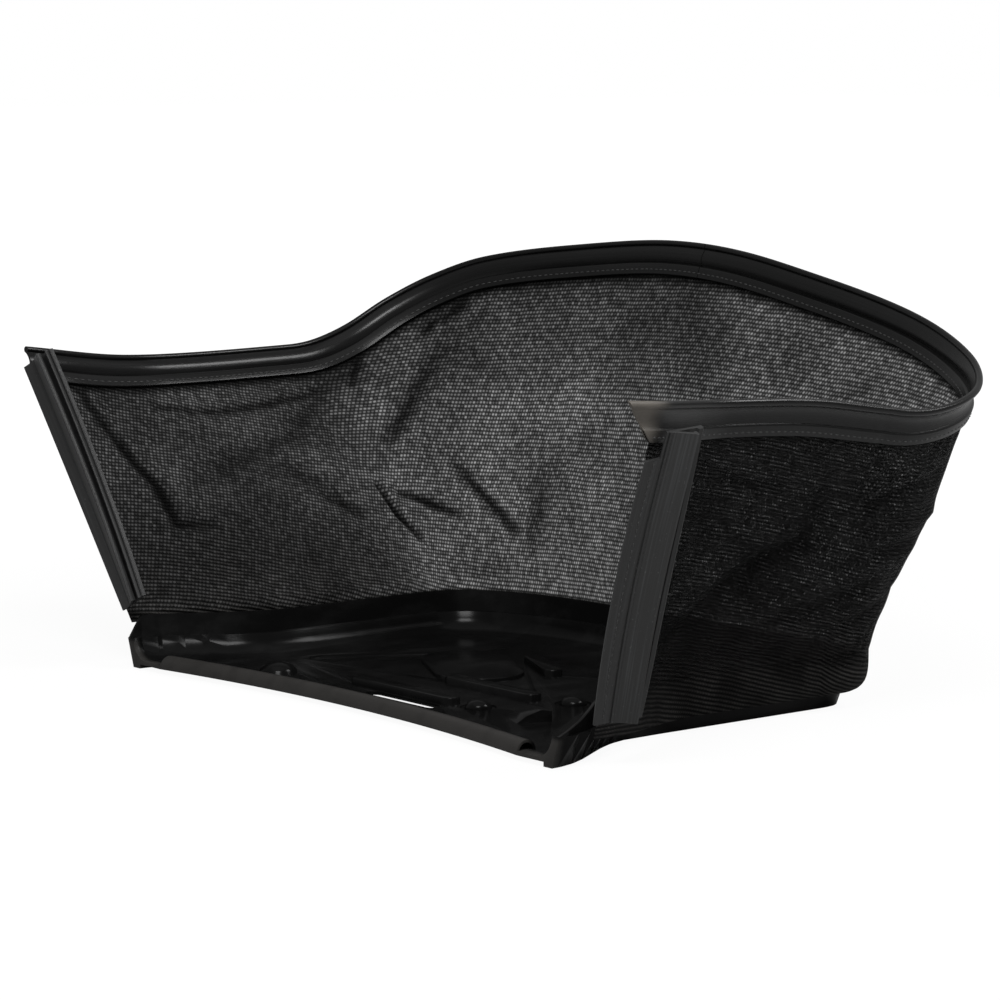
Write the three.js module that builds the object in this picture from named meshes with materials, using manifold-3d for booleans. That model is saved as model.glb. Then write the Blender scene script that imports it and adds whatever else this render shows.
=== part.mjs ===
// Grass catcher bag of a walk-behind lawn mower: moulded base tray, knitted mesh wall,
// clip-on rim in two lengths and two edge strips beside the front opening.
// Millimetres, +Z up. The opening faces -Y and the bag's right side is +X.
import * as THREE from 'three';
import { mergeVertices } from 'three/addons/utils/BufferGeometryUtils.js';
import Module from 'manifold-3d';

const wasm = await Module();
wasm.setup();

// Driving dimensions: plan of the tray
const trayFrontHalfWidth = 210;
const traySideHalfWidth = 173;
const trayTaperDepth = 92;
const trayCornerStart = 195;
const trayRightCornerStart = 225;
const trayDepth = 265;
const trayRightDepthExtra = 14;
const trayRightPower = 4;
const cornerPower = 2.9;

// Driving dimensions: wall, floor and ledge of the tray
const ledgeHeight = 18;
const ledgeWidth = 2.2;
const footInset = 6;
const footWidth = 7;
const trayWall = 2.2;
const floorThickness = 2.2;
const floorLift = 2.6;
const coveRadius = 9;
const fluteLeftCount = 4;
const fluteRightCount = 6;
const fluteStart = 5;
const flutePitch = 13;
const fluteDepth = 4;
const fluteRise = 0.3;

// Driving dimensions: upright sewing flange of the tray
const flangeHeight = 20;
const flangeThickness = 2;
const flangeLeftRamp = 13;
const flangeRightRamp = 58;

// Driving dimensions: rolled front lip
const lipRadius = 6.8;
const lipWall = 1.6;
const lipHalfLength = 174;
const lipBow = 15;

// Driving dimensions: floor details, each place as x, y and turn in degrees
const slotLength = 66;
const slotWidth = 10;
const slotPlace = [11, 47, 0];
const barHeight = 4.6;
const barWidth = 12;
const detailBevel = 1.4;
const frontBarLength = 98;
const frontBarPlace = [-4, 60, 0];
const middleBarLength = 84;
const middleBarPlace = [24, 104, 0];
const slantBarLength = 58;
const slantBarPlace = [-16, 176, -25];
const domeRadius = 8;
const domeHeight = 4.6;
const domePlaces = [[58, 66, 0], [84, 116, 0]];
const moatWidth = 3;
const moatDepth = 1;
const bossRadius = 12;
const bossHeight = 7.4;
const bossPlace = [-108, 42, 0];
const plateauLength = 104;
const plateauWidth = 56;
const plateauHeight = 2.4;
const plateauPlace = [-48, 146, -29];
const trackLength = 104;
const trackWidth = 24;
const trackDepth = 1.1;
const trackPlace = [-112, 132, 60];
const wedgeLength = 22;
const wedgeWidth = 20;
const wedgeHeight = 7;
const wedgeOutline = [[1, 0.85], [0.4, 1], [-0.4, 0.55]];
const wedgePlace = [106, 64, 69];

// Driving dimensions: mesh wall
const meshThickness = 1.3;
const hemClearance = 0.55;
const hemHeight = 9;
const hemFrontStandOff = 6;
const hemTaperDepth = 114;
const hemLeftFrontHeight = 26;
const hemRightFrontHeight = 15;
const hemLeftFrontY = 7;
const hemRightFrontY = 19;
const wallSag = 5;

// Driving dimensions: rim
const rimFrontHalfWidth = 300;
const rimSideHalfWidth = 284;
const rimTaperDepth = 90;
const rimLeftFrontY = -16;
const rimRightFrontY = -30;
const rimCornerStart = 175;
const rimDepth = 330;
const rimSideHeight = 187;
const rimRearRise = 74;
const rimJointGap = 0.5;

// Section of the rim: bead on top, hollow band, fork that grips the mesh
const beadRadius = 2.1;
const bandThickness = 1.8;
const bandHollow = 1.6;
const bandHeight = 11;
const forkHeight = 8;
const forkWidth = 4.7;
const forkSlot = 2;
const forkWeb = 1.6;
const forkShoulder = 0.8;
const rimLeftRake = 0.08;
const rimRightRake = 1;

// Driving dimensions: edge strips, their feet, turns and how far they lap past the mesh
const stripLeftLength = 168;
const stripRightLength = 178;
const stripLeftFoot = 34;
const stripRightFoot = 26;
const stripLeftTurns = [1, 10, 11];
const stripRightTurns = [84, 64, 84];
const stripLeftLap = [1.5, 1, 1];
const stripRightLap = [3.5, 6.6, 1];
const stripLeftOpening = [5, 6.6];
const stripRightOpening = [4.6, 4.6];
const stripLeftNotch = 0;
const stripRightNotch = 12;
const stripClearance = 0.5;

// Section of the edge strips: sewing flange, hook channel and its longer back leg
const stripFlange = 10.5;
const stripFace = 13.5;
const stripLip = 6;
const stripWall = 1.7;
const stripCurl = 1.4;
const stripHook = 1.4;
const stripHookDrop = 0.9;
const stripEase = 0.8;
const stripBead = 0.4;
const stripStub = 2;

// How the rim rises and falls from the left tip to the right tip, as shares of the rear rise
const rimWave = [
  [0, 0.11], [0.07, 0], [0.2, 0], [0.23, 0.035], [0.26, 0.16], [0.29, 0.385], [0.32, 0.6],
  [0.35, 0.77], [0.4, 0.91], [0.45, 0.99], [0.5, 0.93], [0.55, 0.765], [0.6, 0.56],
  [0.65, 0.31], [0.7, 0.11], [0.77, 0.01], [0.86, 0.16], [0.93, 0.215], [1, 0.285],
];

// Share of a D-shaped line that each straight side takes
const sideShare = 0.2;

// Finishes
const trayBlack = { color: 0x16161a, roughness: 0.28, metalness: 0 };
const profileBlack = { color: 0x232328, roughness: 0.36, metalness: 0 };
const meshBlack = { color: 0x0e0e10, roughness: 0.85, metalness: 0 };

// Line of a D-shaped plan, open at the front
class DPlan extends THREE.Curve {
  constructor(size) {
    super();
    this.size = size;
  }

  getPoint(t, target = new THREE.Vector3()) {
    const { front, side, taper, leftY, rightY, rearY, rightExtra } = this.size;
    const onLeft = t < sideShare;
    const onRight = t > 1 - sideShare;
    const cornerY = t < 0.5 ? this.size.cornerY : this.size.rightCornerY;
    const power = t < 0.5 ? cornerPower : this.size.rightPower;
    if (onLeft || onRight) {
      const frontY = onLeft ? leftY : rightY;
      const along = (onLeft ? t : 1 - t) / sideShare;
      const y = frontY + (cornerY - frontY) * along;
      const eased = Math.min((y - frontY) / taper, 1);
      const x = side + (front - side) * (0.5 + 0.5 * Math.cos(Math.PI * eased));
      return target.set(onLeft ? -x : x, y, 0);
    }
    const round = (t - sideShare) / (1 - 2 * sideShare);
    const quarter = Math.max(Math.min(2 * round, 2 - 2 * round), 0);
    const even = quarter ** (power / 2);
    const share = even / (even + Math.max(1 - quarter, 0) ** (power / 2));
    const turn = (Math.PI / 2) * (round < 0.5 ? share : 2 - share);
    const c = Math.cos(turn);
    const s = Math.sin(turn);
    const x = -side * Math.sign(c) * Math.abs(c) ** (2 / power);
    const depth = rearY - cornerY + rightExtra * (Math.max(x, 0) / side) ** 2;
    return target.set(x, cornerY + depth * Math.abs(s) ** (2 / power), 0);
  }
}

const trayPlan = new DPlan({
  front: trayFrontHalfWidth, side: traySideHalfWidth, taper: trayTaperDepth,
  leftY: 0, rightY: 0, cornerY: trayCornerStart, rearY: trayDepth,
  rightCornerY: trayRightCornerStart, rightExtra: trayRightDepthExtra, rightPower: trayRightPower,
});

const hemOffset = hemClearance + meshThickness / 2;
const hemPlan = new DPlan({
  front: trayFrontHalfWidth + hemFrontStandOff, side: traySideHalfWidth + hemOffset,
  taper: hemTaperDepth, leftY: hemLeftFrontY, rightY: hemRightFrontY,
  cornerY: trayCornerStart, rearY: trayDepth + hemOffset,
  rightCornerY: trayRightCornerStart, rightExtra: trayRightDepthExtra, rightPower: trayRightPower,
});

const rimPlan = new DPlan({
  front: rimFrontHalfWidth, side: rimSideHalfWidth, taper: rimTaperDepth,
  leftY: rimLeftFrontY, rightY: rimRightFrontY, cornerY: rimCornerStart, rearY: rimDepth,
  rightCornerY: rimCornerStart, rightExtra: 0, rightPower: cornerPower,
});

// Smooth value between listed stations
function stationValue(stations, t) {
  const last = stations.length - 1;
  let k = 0;
  while (k < last - 1 && t > stations[k + 1][0]) k += 1;
  const [t0, v0] = stations[k];
  const [t1, v1] = stations[k + 1];
  const slopeAt = (i) => {
    const a = stations[Math.max(i - 1, 0)];
    const b = stations[Math.min(i + 1, last)];
    return (b[1] - a[1]) / (b[0] - a[0]);
  };
  const span = t1 - t0;
  const f = (t - t0) / span;
  const m0 = slopeAt(k) * span;
  const m1 = slopeAt(k + 1) * span;
  return v0 * (2 * f ** 3 - 3 * f ** 2 + 1) + m0 * (f ** 3 - 2 * f ** 2 + f)
    + v1 * (3 * f ** 2 - 2 * f ** 3) + m1 * (f ** 3 - f ** 2);
}

// Points of the rim's top line and of the mesh's lower edge
function rimPoint(t) {
  const p = rimPlan.getPoint(t);
  p.z = rimSideHeight + rimRearRise * stationValue(rimWave, t);
  return p;
}

function frontShare(t, reach) {
  const fromFront = Math.min(t, 1 - t) / (sideShare * reach);
  return 0.5 + 0.5 * Math.cos(Math.PI * Math.min(fromFront, 1));
}

function hemPoint(t) {
  const p = hemPlan.getPoint(t);
  const frontHeight = t < 0.5 ? hemLeftFrontHeight : hemRightFrontHeight;
  p.z = hemHeight + (frontHeight - hemHeight) * frontShare(t, 0.5);
  return p;
}

// Frame of the wall at t: rim point, direction along the rim, down the wall and outward
function wallFrame(t) {
  const step = 0.002;
  const top = rimPoint(t);
  const along = rimPoint(Math.min(t + step, 1)).sub(rimPoint(Math.max(t - step, 0))).normalize();
  const down = hemPoint(t).sub(top);
  down.addScaledVector(along, -down.dot(along)).normalize();
  const out = new THREE.Vector3().crossVectors(down, along).normalize();
  return { top, along, down, out };
}

// Closed body from a row of closed loops with the same number of points
function loftGeometry(loops) {
  const count = loops[0].length;
  const positions = [];
  for (const loop of loops) for (const p of loop) positions.push(p.x, p.y, p.z);
  const index = [];
  for (let i = 0; i < loops.length - 1; i += 1) {
    for (let j = 0; j < count; j += 1) {
      const k = (j + 1) % count;
      const a = i * count + j;
      const b = i * count + k;
      index.push(a, b, a + count, b, b + count, a + count);
    }
  }
  const capOf = (loop, offset, flip) => {
    const middle = loop.reduce((sum, p) => sum.add(p), new THREE.Vector3()).divideScalar(count);
    const normal = new THREE.Vector3();
    for (let j = 0; j < count; j += 1) {
      const a = loop[j].clone().sub(middle);
      const b = loop[(j + 1) % count].clone().sub(middle);
      normal.add(a.cross(b));
    }
    normal.normalize();
    const helper = Math.abs(normal.z) < 0.9 ? new THREE.Vector3(0, 0, 1) : new THREE.Vector3(1, 0, 0);
    const u = new THREE.Vector3().crossVectors(helper, normal).normalize();
    const v = new THREE.Vector3().crossVectors(normal, u);
    const flat = loop.map((p) => new THREE.Vector2(p.dot(u), p.dot(v)));
    for (const [a, b, c] of THREE.ShapeUtils.triangulateShape(flat, [])) {
      index.push(...(flip ? [offset + a, offset + c, offset + b] : [offset + a, offset + b, offset + c]));
    }
  };
  capOf(loops[0], 0, true);
  capOf(loops[loops.length - 1], (loops.length - 1) * count, false);
  const geometry = new THREE.BufferGeometry();
  geometry.setAttribute('position', new THREE.Float32BufferAttribute(positions, 3));
  geometry.setIndex(index);
  return faceOutward(geometry);
}

// Turns a closed body the right way round
function faceOutward(geometry) {
  const p = geometry.getAttribute('position');
  const index = geometry.getIndex();
  const [a, b, c] = [new THREE.Vector3(), new THREE.Vector3(), new THREE.Vector3()];
  let volume = 0;
  for (let i = 0; i < index.count; i += 3) {
    a.fromBufferAttribute(p, index.getX(i));
    b.fromBufferAttribute(p, index.getX(i + 1));
    c.fromBufferAttribute(p, index.getX(i + 2));
    volume += a.dot(b.cross(c));
  }
  if (volume < 0) {
    for (let i = 0; i < index.count; i += 3) {
      const kept = index.getX(i + 1);
      index.setX(i + 1, index.getX(i + 2));
      index.setX(i + 2, kept);
    }
  }
  return geometry;
}

// Solids for joining and cutting
function toSolid(geometry) {
  const bare = geometry.clone();
  bare.deleteAttribute('normal');
  bare.deleteAttribute('uv');
  const merged = mergeVertices(bare, 1e-4);
  return new wasm.Manifold(new wasm.Mesh({
    numProp: 3,
    vertProperties: new Float32Array(merged.getAttribute('position').array),
    triVerts: new Uint32Array(merged.getIndex().array),
  }));
}

function toGeometry(solid) {
  const { vertProperties, triVerts } = solid.getMesh();
  const geometry = new THREE.BufferGeometry();
  geometry.setAttribute('position', new THREE.Float32BufferAttribute(vertProperties, 3));
  geometry.setIndex([...triVerts]);
  return geometry;
}

function toMesh(name, geometry, finish) {
  geometry.computeVertexNormals();
  const mesh = new THREE.Mesh(geometry, new THREE.MeshStandardMaterial(finish));
  mesh.name = name;
  return mesh;
}

// Tray: closed loop round the plan, pushed inward by an inset, with fluted front corners
function fluteWave({ x, y }) {
  const along = (y - fluteStart) / flutePitch;
  const count = x < 0 ? fluteLeftCount : fluteRightCount;
  if (along <= 0 || along >= count) return 0;
  const phase = along - Math.floor(along);
  return phase < fluteRise ? phase / fluteRise : (1 - phase) / (1 - fluteRise);
}

function traySideStations(count, cornerY) {
  const list = [0];
  for (let i = 0; i < count; i += 1) {
    list.push(fluteStart + i * flutePitch, fluteStart + (i + fluteRise) * flutePitch);
  }
  const flutesEnd = fluteStart + count * flutePitch;
  const rest = 5;
  for (let i = 0; i <= rest; i += 1) list.push(flutesEnd + ((cornerY - flutesEnd) * i) / rest);
  return list.map((y) => (y / cornerY) * sideShare);
}

const rearSteps = 28;
function trayStations() {
  const rear = [];
  for (let i = 1; i < rearSteps; i += 1) rear.push(sideShare + ((1 - 2 * sideShare) * i) / rearSteps);
  const left = traySideStations(fluteLeftCount, trayCornerStart);
  const right = traySideStations(fluteRightCount, trayRightCornerStart).map((t) => 1 - t).reverse();
  return [...left, ...rear, ...right];
}

function trayLoop(z, inset, frontY, fluting) {
  const line = trayStations().map((t) => trayPlan.getPoint(t));
  const loop = line.map((p, i) => {
    const before = line[Math.max(i - 1, 0)];
    const after = line[Math.min(i + 1, line.length - 1)];
    const along = after.clone().sub(before).normalize();
    const outward = new THREE.Vector3(-along.y, along.x, 0);
    const flute = fluting * fluteWave(p);
    return p.clone().addScaledVector(outward, flute - inset).setZ(z);
  });
  for (const end of [loop[0], loop[loop.length - 1]]) end.y = frontY;
  return loop;
}

// Front edge of the floor, bowed back in the middle
function bowAt(x) {
  const share = Math.min(Math.abs(x) / lipHalfLength, 1);
  return lipBow * (1 - share * share);
}

function roundedBar(length, width, height, bevel) {
  const r = width / 2 - bevel;
  const half = (length - width) / 2;
  const shape = new THREE.Shape();
  shape.absarc(half, 0, r, -Math.PI / 2, Math.PI / 2);
  shape.absarc(-half, 0, r, Math.PI / 2, (3 * Math.PI) / 2);
  shape.closePath();
  return new THREE.ExtrudeGeometry(shape, {
    depth: height - bevel, bevelEnabled: bevel > 0, bevelThickness: bevel, bevelSize: bevel,
    bevelSegments: 2, curveSegments: 6,
  });
}

function placed(geometry, [x, y, turn], z) {
  return geometry.rotateZ(THREE.MathUtils.degToRad(turn)).translate(x, y, z);
}

// Block that rises to a ridge, for the outlet side of the floor
function wedgeBlock(sunk) {
  const half = wedgeLength / 2;
  const shape = new THREE.Shape();
  shape.moveTo(-half, -sunk);
  shape.lineTo(half, -sunk);
  for (const [along, up] of wedgeOutline) shape.lineTo(half * along, wedgeHeight * up);
  shape.closePath();
  const block = new THREE.ExtrudeGeometry(shape, { depth: wedgeWidth, bevelEnabled: false });
  return block.rotateX(Math.PI / 2).translate(0, wedgeWidth / 2, sunk);
}

function dome(radius, height, segments) {
  const sink = 1;
  const profile = [new THREE.Vector2(0, -sink), new THREE.Vector2(radius, -sink)];
  const steps = 5;
  for (let i = 0; i <= steps; i += 1) {
    const angle = (Math.PI / 2) * (i / steps);
    profile.push(new THREE.Vector2(radius * Math.cos(angle), height * Math.sin(angle)));
  }
  profile[profile.length - 1].x = 0;
  return new THREE.LatheGeometry(profile, segments).rotateX(Math.PI / 2);
}

function ring(inner, outer, depth, segments) {
  const profile = [
    new THREE.Vector2(inner, -depth), new THREE.Vector2(outer, -depth),
    new THREE.Vector2(outer, depth), new THREE.Vector2(inner, depth), new THREE.Vector2(inner, -depth),
  ];
  return new THREE.LatheGeometry(profile, segments).rotateX(Math.PI / 2);
}

function frontLip() {
  const stations = 28;
  const arc = 10;
  const loops = [];
  const seat = floorLift + floorThickness / 2;
  for (let i = 0; i <= stations; i += 1) {
    const x = -lipHalfLength + (2 * lipHalfLength * i) / stations;
    const y = bowAt(x) + lipRadius;
    const loop = [];
    for (let j = 0; j <= arc; j += 1) {
      const angle = (Math.PI * j) / arc;
      const r = lipRadius;
      loop.push(new THREE.Vector3(x, y - r * Math.cos(angle), seat + r * Math.sin(angle)));
    }
    for (let j = arc; j >= 0; j -= 1) {
      const angle = (Math.PI * j) / arc;
      const r = lipRadius - lipWall;
      loop.push(new THREE.Vector3(x, y - r * Math.cos(angle), seat + r * Math.sin(angle)));
    }
    loops.push(loop);
  }
  return loftGeometry(loops);
}

// Everything in front of the bowed floor edge, cut away
function frontCutter() {
  const shape = new THREE.Shape();
  const reach = 40;
  const stations = 28;
  shape.moveTo(-lipHalfLength, -reach);
  shape.lineTo(lipHalfLength, -reach);
  for (let i = 0; i <= stations; i += 1) {
    const x = lipHalfLength - (2 * lipHalfLength * i) / stations;
    shape.lineTo(x, bowAt(x));
  }
  shape.closePath();
  return new THREE.ExtrudeGeometry(shape, { depth: ledgeHeight, bevelEnabled: false });
}

function buildTray() {
  const flatFront = 0;
  const ahead = -30;
  const floorTop = floorLift + floorThickness;
  const above = 0.5;
  const outer = toSolid(loftGeometry([
    trayLoop(0, footInset, flatFront, 0),
    trayLoop(ledgeHeight, 0, flatFront, fluteDepth),
  ]));
  const coveSteps = 4;
  const insideLoops = [];
  const wallInset = ledgeWidth + flangeThickness + trayWall / 2;
  for (let i = 0; i <= coveSteps; i += 1) {
    const angle = (Math.PI / 2) * (i / coveSteps);
    const z = floorTop + coveRadius * (1 - Math.cos(angle));
    const draft = footInset * (1 - z / ledgeHeight);
    const inset = draft + wallInset + coveRadius * (1 - Math.sin(angle));
    insideLoops.push(trayLoop(z, inset, ahead, fluteDepth * (z / ledgeHeight)));
  }
  insideLoops.push(trayLoop(ledgeHeight + above, wallInset, ahead, fluteDepth));
  const inner = toSolid(loftGeometry(insideLoops));
  const under = toSolid(loftGeometry([
    trayLoop(-above, footInset + footWidth, ahead, 0),
    trayLoop(floorLift, footInset + footWidth, ahead, 0),
  ]));
  let tray = outer.subtract(inner).subtract(under);

  // Upright sewing flange with a ramp at each front end
  const flangeTop = ledgeHeight + flangeHeight;
  const flangeFoot = ledgeHeight - 1;
  const flangeOuter = toSolid(loftGeometry([
    trayLoop(flangeFoot, 0, flatFront, 0), trayLoop(flangeTop, 0, flatFront, 0),
  ]));
  const flangeInner = toSolid(loftGeometry([
    trayLoop(flangeFoot - above, flangeThickness, ahead, 0),
    trayLoop(flangeTop + above, flangeThickness, ahead, 0),
  ]));
  const rampWidth = trayFrontHalfWidth + fluteDepth + above;
  const rampCutter = (rampLength, left) => {
    const shape = new THREE.Shape([
      new THREE.Vector2(ahead, flangeFoot - above), new THREE.Vector2(above, flangeFoot - above),
      new THREE.Vector2(above, ledgeHeight), new THREE.Vector2(rampLength, flangeTop + above),
      new THREE.Vector2(ahead, flangeTop + above),
    ]);
    const block = new THREE.ExtrudeGeometry(shape, { depth: rampWidth, bevelEnabled: false });
    return toSolid(block.rotateX(Math.PI / 2).rotateZ(Math.PI / 2).translate(left, 0, 0));
  };
  const flange = flangeOuter.subtract(flangeInner)
    .subtract(rampCutter(flangeLeftRamp, -rampWidth))
    .subtract(rampCutter(flangeRightRamp, 0));
  tray = tray.add(flange);

  // Bowed front edge and rolled lip
  tray = tray.subtract(toSolid(frontCutter().translate(0, 0, -above)));
  tray = tray.add(toSolid(frontLip()));

  // Floor details
  const sunk = 0.6;
  const raise = (shape, place) => {
    tray = tray.add(toSolid(placed(shape, place, floorTop - sunk)));
  };
  raise(roundedBar(frontBarLength, barWidth, barHeight + sunk, detailBevel), frontBarPlace);
  raise(roundedBar(middleBarLength, barWidth, barHeight + sunk, detailBevel), middleBarPlace);
  raise(roundedBar(slantBarLength, barWidth, barHeight + sunk, detailBevel), slantBarPlace);
  raise(roundedBar(plateauLength, plateauWidth, plateauHeight + sunk, detailBevel), plateauPlace);
  raise(wedgeBlock(sunk), wedgePlace);
  for (const place of domePlaces) {
    const moat = ring(domeRadius, domeRadius + moatWidth, moatDepth, 24);
    tray = tray.subtract(toSolid(placed(moat, place, floorTop)));
    tray = tray.add(toSolid(placed(dome(domeRadius, domeHeight, 24), place, floorTop)));
  }
  tray = tray.add(toSolid(placed(dome(bossRadius, bossHeight, 24), bossPlace, floorTop)));
  const track = roundedBar(trackLength, trackWidth, trackDepth * 2, trackDepth / 3);
  tray = tray.subtract(toSolid(placed(track, trackPlace, floorTop - trackDepth)));
  const slot = roundedBar(slotLength, slotWidth, floorThickness * 3, 0);
  tray = tray.subtract(toSolid(placed(slot, slotPlace, floorLift - floorThickness)));
  return toGeometry(tray);
}

// Stations shared by the mesh wall and the rim, so that they run side by side
const wallSideSteps = 15;
const wallRearSteps = 44;
const wallSteps = 2 * wallSideSteps + wallRearSteps;
function wallStation(i) {
  const fromEnd = Math.min(i, wallSteps - i);
  if (fromEnd <= wallSideSteps) {
    const t = (sideShare * fromEnd) / wallSideSteps;
    return i === fromEnd ? t : 1 - t;
  }
  return sideShare + ((1 - 2 * sideShare) * (i - wallSideSteps)) / wallRearSteps;
}

// Slant of the rim's two ends, faded over a few stations
function rakeAt(i) {
  const reach = 4;
  const left = rimLeftRake * Math.max(1 - i / reach, 0);
  const right = rimRightRake * Math.max(1 - (wallSteps - i) / reach, 0);
  return left - right;
}

// Section of the rim as (outward, down) pairs
function rimSection() {
  const points = [];
  const beadArc = 8;
  const half = bandThickness / 2;
  const neck = beadRadius + Math.sqrt(beadRadius ** 2 - half ** 2);
  const open = Math.asin(half / beadRadius);
  for (let i = 0; i <= beadArc; i += 1) {
    const angle = open + ((2 * Math.PI - 2 * open) * i) / beadArc;
    points.push([beadRadius * Math.sin(angle), beadRadius + beadRadius * Math.cos(angle)]);
  }
  const bandSteps = 4;
  const inner = [];
  const outer = [];
  for (let i = 1; i < bandSteps; i += 1) {
    const f = i / bandSteps;
    const bow = bandHollow * Math.sin(Math.PI * f);
    inner.push([bow - half, neck + bandHeight * f]);
    outer.push([bow + half, neck + bandHeight * f]);
  }
  const forkTop = neck + bandHeight;
  const forkFoot = forkTop + forkHeight;
  const slotTop = forkTop + forkWeb;
  const left = [
    ...inner, [-half, forkTop], [-forkWidth / 2, forkTop + forkShoulder], [-forkWidth / 2, forkFoot],
    [-forkSlot / 2, forkFoot], [-forkSlot / 2, slotTop],
  ];
  const right = [
    [forkSlot / 2, slotTop], [forkSlot / 2, forkFoot], [forkWidth / 2, forkFoot],
    [forkWidth / 2, forkTop + forkShoulder], [half, forkTop], ...outer.reverse(),
  ];
  return { points: [...points, ...left, ...right], slotTop, forkFoot };
}

function buildRim(first, last, startGap, endGap) {
  const { points } = rimSection();
  const loops = [];
  for (let i = first; i <= last; i += 1) {
    const { top, along, down, out } = wallFrame(wallStation(i));
    let shift = 0;
    if (i === first) shift = startGap;
    if (i === last) shift = -endGap;
    loops.push(points.map(([p, q]) => top.clone()
      .addScaledVector(out, p)
      .addScaledVector(down, q)
      .addScaledVector(along, shift + rakeAt(i) * q)));
  }
  return loftGeometry(loops);
}

// Mesh wall: one column of points from inside the rim's fork down to the hem outside the tray
const wallRows = 9;
function wallColumn(i) {
  const { slotTop, forkFoot } = rimSection();
  const topGap = 0.6;
  const belowFork = 1;
  const t = wallStation(i);
  const { top, down, out, along } = wallFrame(t);
  const [inFork, under] = [slotTop + topGap, forkFoot + belowFork].map((q) => (
    top.clone().addScaledVector(down, q).addScaledVector(along, rakeAt(i) * q)));
  const hem = hemPoint(t);
  const kneeHeight = ledgeHeight + flangeHeight;
  const knee = hem.clone().setZ(kneeHeight);
  const straight = hem.clone().lerp(under, (kneeHeight - hem.z) / (under.z - hem.z));
  knee.lerp(straight, frontShare(t, 0.3));
  const column = [inFork, under];
  const sag = wallSag * (1 - frontShare(t, 0.5));
  for (let j = 1; j < wallRows; j += 1) {
    const f = j / wallRows;
    const p = under.clone().lerp(knee, f);
    column.push(p.addScaledVector(out, sag * Math.sin(Math.PI * f)));
  }
  column.push(knee, hem);
  return { column, out };
}

function buildWall() {
  const columns = [];
  for (let i = 0; i <= wallSteps; i += 1) columns.push(wallColumn(i));
  return sheetGeometry(columns.map((c) => c.column), meshThickness, columns.map((c) => c.out), 2);
}

// Closed body of an even thickness round a grid of points
function sheetGeometry(grid, thickness, topNormals, topRows) {
  const columns = grid.length;
  const rows = grid[0].length;
  const normalAt = (i, j) => {
    if (j < topRows) return topNormals[i];
    const a = grid[Math.min(i + 1, columns - 1)][j].clone().sub(grid[Math.max(i - 1, 0)][j]);
    const b = grid[i][Math.min(j + 1, rows - 1)].clone().sub(grid[i][Math.max(j - 1, 0)]);
    return b.cross(a).normalize();
  };
  const positions = [];
  for (const side of [1, -1]) {
    for (let i = 0; i < columns; i += 1) {
      for (let j = 0; j < rows; j += 1) {
        const p = grid[i][j].clone().addScaledVector(normalAt(i, j), (side * thickness) / 2);
        positions.push(p.x, p.y, p.z);
      }
    }
  }
  const at = (i, j, back) => (back ? columns * rows : 0) + i * rows + j;
  const index = [];
  const quad = (a, b, c, d) => index.push(a, b, c, a, c, d);
  for (let i = 0; i < columns - 1; i += 1) {
    for (let j = 0; j < rows - 1; j += 1) {
      quad(at(i, j, 0), at(i + 1, j, 0), at(i + 1, j + 1, 0), at(i, j + 1, 0));
      quad(at(i, j, 1), at(i, j + 1, 1), at(i + 1, j + 1, 1), at(i + 1, j, 1));
    }
    quad(at(i, 0, 0), at(i, 0, 1), at(i + 1, 0, 1), at(i + 1, 0, 0));
    quad(at(i, rows - 1, 0), at(i + 1, rows - 1, 0), at(i + 1, rows - 1, 1), at(i, rows - 1, 1));
  }
  for (let j = 0; j < rows - 1; j += 1) {
    quad(at(0, j, 0), at(0, j + 1, 0), at(0, j + 1, 1), at(0, j, 1));
    quad(at(columns - 1, j, 0), at(columns - 1, j, 1), at(columns - 1, j + 1, 1), at(columns - 1, j + 1, 0));
  }
  const geometry = new THREE.BufferGeometry();
  geometry.setAttribute('position', new THREE.Float32BufferAttribute(positions, 3));
  geometry.setIndex(index);
  return faceOutward(geometry);
}

// Edge strip: flange, face that rises to the hook and back leg, as (across, outward) pairs
function stripSection(channel, flangeEdge) {
  const mid = stripFlange;
  const faceEnd = mid + stripFace;
  const backEnd = faceEnd + stripLip;
  const climb = stripWall + channel;
  const drop = stripWall * Math.hypot(1, climb / stripFace);
  const innerAt = (u) => stripWall + (climb * (u - mid)) / stripFace - drop;
  const hookStart = faceEnd - stripHook;
  const hookFoot = innerAt(hookStart) - stripHookDrop;
  const lipTop = stripWall + stripCurl;
  return [
    [flangeEdge, 0], [backEnd, 0], [backEnd, lipTop], [backEnd - stripHook, lipTop],
    [backEnd - stripHook, stripWall], [mid + (drop * stripFace) / climb, stripWall],
    [hookStart, innerAt(hookStart)], [hookStart, hookFoot], [faceEnd, hookFoot],
    [faceEnd + stripEase / 2, climb], [faceEnd, climb + stripWall], [faceEnd - stripEase, climb + stripWall],
    [mid + stripEase, stripWall + stripBead], [mid, stripWall + stripBead], [mid - stripEase, stripWall],
    [flangeEdge, stripWall],
  ];
}

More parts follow.
